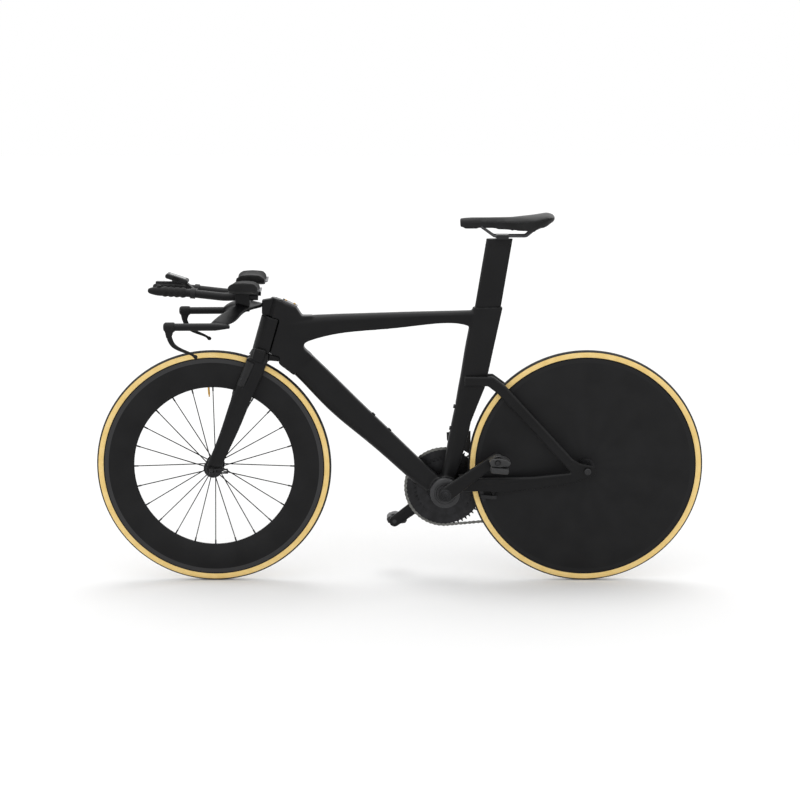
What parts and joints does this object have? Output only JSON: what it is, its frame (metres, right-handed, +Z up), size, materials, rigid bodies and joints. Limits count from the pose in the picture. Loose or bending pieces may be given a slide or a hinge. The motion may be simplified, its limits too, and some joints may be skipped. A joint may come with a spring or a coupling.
{
  "type": "time trial bicycle",
  "caption": "Time trial bicycle with aerofoil frame tubes, a solid rear disc wheel, deep-rim front wheel, base bar with arm rests and extensions, and a geared chain drive.",
  "frame": {"origin": "on the ground, midway between the two tyre contacts", "axes": "+X points to the rear wheel, +Y to the drive side, +Z up; the bike faces -X"},
  "size_m": [1.735, 0.387, 1.0588],
  "materials": {
    "carbon_black": "satin",
    "gloss_black": "gloss",
    "tyre_tan": "matte",
    "soft_black": "matte",
    "saddle_cover": "matte",
    "steel": "satin",
    "alloy_dark": "satin",
    "alloy_silver": "satin",
    "lid_grey": "satin",
    "brass_gold": "polished",
    "screen": "gloss"
  },
  "bodies": {
    "frame": {"main_frame": "carbon_black", "seat_stays": "carbon_black", "chain_stays": "carbon_black", "rear_dropouts": "alloy_dark", "headset_bearings": "steel", "bottom_bracket_cups": "alloy_dark", "bottle_bosses": "brass_gold", "fairing_lid": "lid_grey", "rear_axle": "steel", "chain": "steel", "derailleur_knuckle": "alloy_dark"},
    "steering": {"fork": "carbon_black", "fork_nose": "carbon_black", "stem": "carbon_black", "base_bar": "carbon_black", "lever_hoods": "soft_black", "extensions": "carbon_black", "grips": "soft_black", "arm_cups": "alloy_silver", "arm_pads": "soft_black", "bar_risers": "carbon_black", "front_brake_cover": "carbon_black", "computer_holder": "gloss_black", "bike_computer": "screen", "front_axle": "steel"},
    "front_wheel": {"front_tyre": "tyre_tan", "front_rim": "gloss_black", "front_spokes": "steel", "front_hub": "alloy_dark", "front_valve": "brass_gold"},
    "rear_wheel": {"rear_tyre": "tyre_tan", "rear_disc": "gloss_black", "rear_hub": "alloy_dark"},
    "crankset": {"crank_arm_left": "gloss_black", "crank_arm_right": "gloss_black", "chainring_large": "alloy_dark", "chainring_small": "alloy_dark", "pedal_axles": "steel"},
    "left_pedal": {"pedal_left": "alloy_dark"},
    "right_pedal": {"pedal_right": "alloy_dark"},
    "sprockets": {"cassette": "steel"},
    "guide_wheel": {"guide_pulley": "alloy_dark"},
    "tension_wheel": {"tension_pulley": "alloy_dark"},
    "rear_link": {"derailleur_link": "alloy_dark"},
    "rear_cage": {"derailleur_cage": "alloy_dark"},
    "front_cage": {"front_derailleur_cage": "alloy_dark"},
    "left_lever": {"brake_lever_left": "alloy_dark"},
    "right_lever": {"brake_lever_right": "alloy_dark"},
    "front_arm_left": {"front_brake_arm_left": "alloy_dark"},
    "front_arm_right": {"front_brake_arm_right": "alloy_dark"},
    "rear_arm_left": {"rear_brake_arm_left": "alloy_dark"},
    "rear_arm_right": {"rear_brake_arm_right": "alloy_dark"},
    "left_button": {"shift_button_left": "soft_black"},
    "right_button": {"shift_button_right": "soft_black"},
    "computer_button": {"computer_key": "soft_black"},
    "post": {"seatpost": "carbon_black", "saddle_clamp": "alloy_dark"},
    "saddle_unit": {"saddle_rails": "alloy_silver", "saddle": "saddle_cover"},
    "release_lever": {"quick_release_lever": "alloy_silver"}
  },
  "joints": [
    {"name": "steer", "type": "hinge", "parent": "frame", "child": "steering", "pos_m": [-0.3901, 0, 0.6602], "axis": [0.279, 0, 0.9603], "range_deg": [-22, 22]},
    {"name": "front_wheel_spin", "type": "hinge", "parent": "steering", "child": "front_wheel", "pos_m": [-0.5315, 0, 0.336], "axis": [0, -1, 0], "continuous": true},
    {"name": "rear_wheel_spin", "type": "hinge", "parent": "frame", "child": "rear_wheel", "pos_m": [0.5315, 0, 0.336], "axis": [0, -1, 0], "continuous": true},
    {"name": "crank_spin", "type": "hinge", "parent": "frame", "child": "crankset", "pos_m": [0.12973, 0, 0.265], "axis": [0, -1, 0], "continuous": true, "deforming": ["chain"]},
    {"name": "left_pedal_spin", "type": "hinge", "parent": "crankset", "child": "left_pedal", "pos_m": [0.27442, -0.09, 0.37207], "axis": [0, -1, 0], "continuous": true},
    {"name": "right_pedal_spin", "type": "hinge", "parent": "crankset", "child": "right_pedal", "pos_m": [-0.01497, 0.09, 0.15793], "axis": [0, -1, 0], "continuous": true},
    {"name": "cassette_spin", "type": "hinge", "parent": "frame", "child": "sprockets", "pos_m": [0.5315, 0.04, 0.336], "axis": [0, -1, 0], "continuous": true, "deforming": ["chain"]},
    {"name": "derailleur_swing", "type": "hinge", "parent": "frame", "child": "rear_link", "pos_m": [0.5416, 0.068, 0.28383], "axis": [-1, 0, 0], "range_deg": [-16, 32], "deforming": ["chain"]},
    {"name": "derailleur_level", "type": "hinge", "parent": "rear_link", "child": "rear_cage", "pos_m": [0.5416, 0.068, 0.24377], "axis": [-1, 0, 0], "range_deg": [-32, 16], "deforming": ["chain"]},
    {"name": "guide_pulley_spin", "type": "hinge", "parent": "rear_cage", "child": "guide_wheel", "pos_m": [0.54, 0.046, 0.24777], "axis": [0, -1, 0], "continuous": true, "deforming": ["chain"]},
    {"name": "tension_pulley_spin", "type": "hinge", "parent": "rear_cage", "child": "tension_wheel", "pos_m": [0.49835, 0.046, 0.20741], "axis": [0, -1, 0], "continuous": true, "deforming": ["chain"]},
    {"name": "front_derailleur_shift", "type": "slide", "parent": "frame", "child": "front_cage", "axis": [0, -1, 0], "range_m": [0, 0.006], "deforming": ["chain"]},
    {"name": "left_lever_pull", "type": "hinge", "parent": "steering", "child": "left_lever", "pos_m": [-0.6298, -0.18, 0.7394], "axis": [0, -1, 0], "range_deg": [0, 20], "stiffness_Nm_per_rad": 0.6},
    {"name": "right_lever_pull", "type": "hinge", "parent": "steering", "child": "right_lever", "pos_m": [-0.6298, 0.18, 0.7394], "axis": [0, -1, 0], "range_deg": [0, 20], "stiffness_Nm_per_rad": 0.6},
    {"name": "front_brake_left", "type": "hinge", "parent": "steering", "child": "front_arm_left", "pos_m": [-0.44307, -0.0255, 0.59947], "axis": [-0.9342, 0, 0.3567], "range_deg": [0, 2.5]},
    {"name": "front_brake_right", "type": "hinge", "parent": "steering", "child": "front_arm_right", "pos_m": [-0.44307, 0.0255, 0.59947], "axis": [0.9342, 0, -0.3567], "range_deg": [0, 2.5]},
    {"name": "rear_brake_left", "type": "hinge", "parent": "frame", "child": "rear_arm_left", "pos_m": [0.26788, -0.028, 0.251], "axis": [0, 0, -1], "range_deg": [0, 2.5]},
    {"name": "rear_brake_right", "type": "hinge", "parent": "frame", "child": "rear_arm_right", "pos_m": [0.26788, 0.028, 0.251], "axis": [0, 0, 1], "range_deg": [0, 2.5]},
    {"name": "left_shift_press", "type": "slide", "parent": "steering", "child": "left_button", "axis": [-0.0587, 0, -0.9983], "range_m": [0, 0.0015], "stiffness_N_per_m": 800},
    {"name": "right_shift_press", "type": "slide", "parent": "steering", "child": "right_button", "axis": [-0.0587, 0, -0.9983], "range_m": [0, 0.0015], "stiffness_N_per_m": 800},
    {"name": "computer_key_press", "type": "slide", "parent": "steering", "child": "computer_button", "axis": [0, 1, 0], "range_m": [0, 0.0008], "stiffness_N_per_m": 600},
    {"name": "seatpost_height", "type": "slide", "parent": "frame", "child": "post", "axis": [0.1609, 0, 0.987], "range_m": [-0.012, 0.03]},
    {"name": "saddle_set_back", "type": "slide", "parent": "post", "child": "saddle_unit", "axis": [1, 0, 0], "range_m": [-0.035, 0]},
    {"name": "release_lever_open", "type": "hinge", "parent": "steering", "child": "release_lever", "pos_m": [-0.5315, -0.0696, 0.336], "axis": [0, 0, -1], "range_deg": [0, 175]}
  ],
  "couplings": [
    {"joint": "cassette_spin", "follows": "crank_spin", "ratio": 4},
    {"joint": "guide_pulley_spin", "follows": "crank_spin", "ratio": -5.0909},
    {"joint": "tension_pulley_spin", "follows": "crank_spin", "ratio": 5.0909},
    {"joint": "derailleur_level", "follows": "derailleur_swing", "ratio": -1},
    {"joint": "front_brake_left", "follows": "left_lever_pull", "ratio": 0.125},
    {"joint": "front_brake_right", "follows": "left_lever_pull", "ratio": 0.125},
    {"joint": "rear_brake_left", "follows": "right_lever_pull", "ratio": 0.125},
    {"joint": "rear_brake_right", "follows": "right_lever_pull", "ratio": 0.125}
  ]
}
